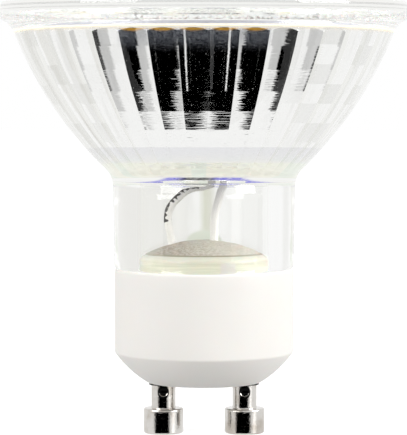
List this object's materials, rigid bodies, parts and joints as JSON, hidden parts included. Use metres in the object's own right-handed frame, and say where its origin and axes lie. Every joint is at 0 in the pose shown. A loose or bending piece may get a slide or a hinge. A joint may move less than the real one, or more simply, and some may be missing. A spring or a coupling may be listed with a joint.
{
  "type": "gu10 spotlight bulb",
  "caption": "Reflector spotlight bulb: flared faceted glass bowl with a flat front cover, clear glass neck, white base cup and two headed twist-lock pins.",
  "frame": {"origin": "midway between the bottoms of the two contact pins, on the lamp's axis", "axes": "+Z along the lamp's axis from the pins to the front cover; the two pins lie side by side along X; -Y faces the camera"},
  "size_m": [0.05, 0.05, 0.053],
  "materials": {
    "clear_glass": "clear pressed glass, mirror film inside the bowl",
    "cover_glass": "clear flat glass",
    "base_plastic": "moulded, semi-gloss warm white",
    "nickel_plate": "bright nickel plate",
    "cement": "matt white lamp cement",
    "potting_resin": "cast translucent resin with a dusty top",
    "lead_sleeve": "extruded wire sleeve",
    "tinned_wire": "tinned copper",
    "board_white": "white lacquer over aluminium",
    "led_case": "moulded white",
    "phosphor": "soft yellow gel",
    "chip_black": "black glaze with tinned ends",
    "solder": "bright solder",
    "silicone": "clear silicone",
    "driver_laminate": "brown laminate",
    "film_case": "moulded yellow",
    "can_sleeve": "shrink sleeve over an aluminium can",
    "rectifier_black": "moulded black",
    "resistor_coat": "matt green coat"
  },
  "bodies": {
    "root": {"contact_pin_left": "nickel_plate", "contact_pin_right": "nickel_plate", "base_shell": "base_plastic", "driver_board": "driver_laminate", "driver_solder_joints": "solder", "film_capacitor": "film_case", "electrolytic_capacitor": "can_sleeve", "bridge_rectifier": "rectifier_black", "bleed_resistor": "chip_black", "fusible_resistor": "resistor_coat", "input_lead": "tinned_wire", "glass_body": "clear_glass", "neck_cement": "cement", "neck_potting": "potting_resin", "lead_left": "lead_sleeve", "lead_right": "lead_sleeve", "led_board": "board_white", "led_packages": "led_case", "led_phosphor": "phosphor", "ballast_resistors": "chip_black", "lead_solder_joints": "solder", "silicone_dabs": "silicone", "rim_sealant": "silicone", "front_cover": "cover_glass"}
  },
  "joints": []
}
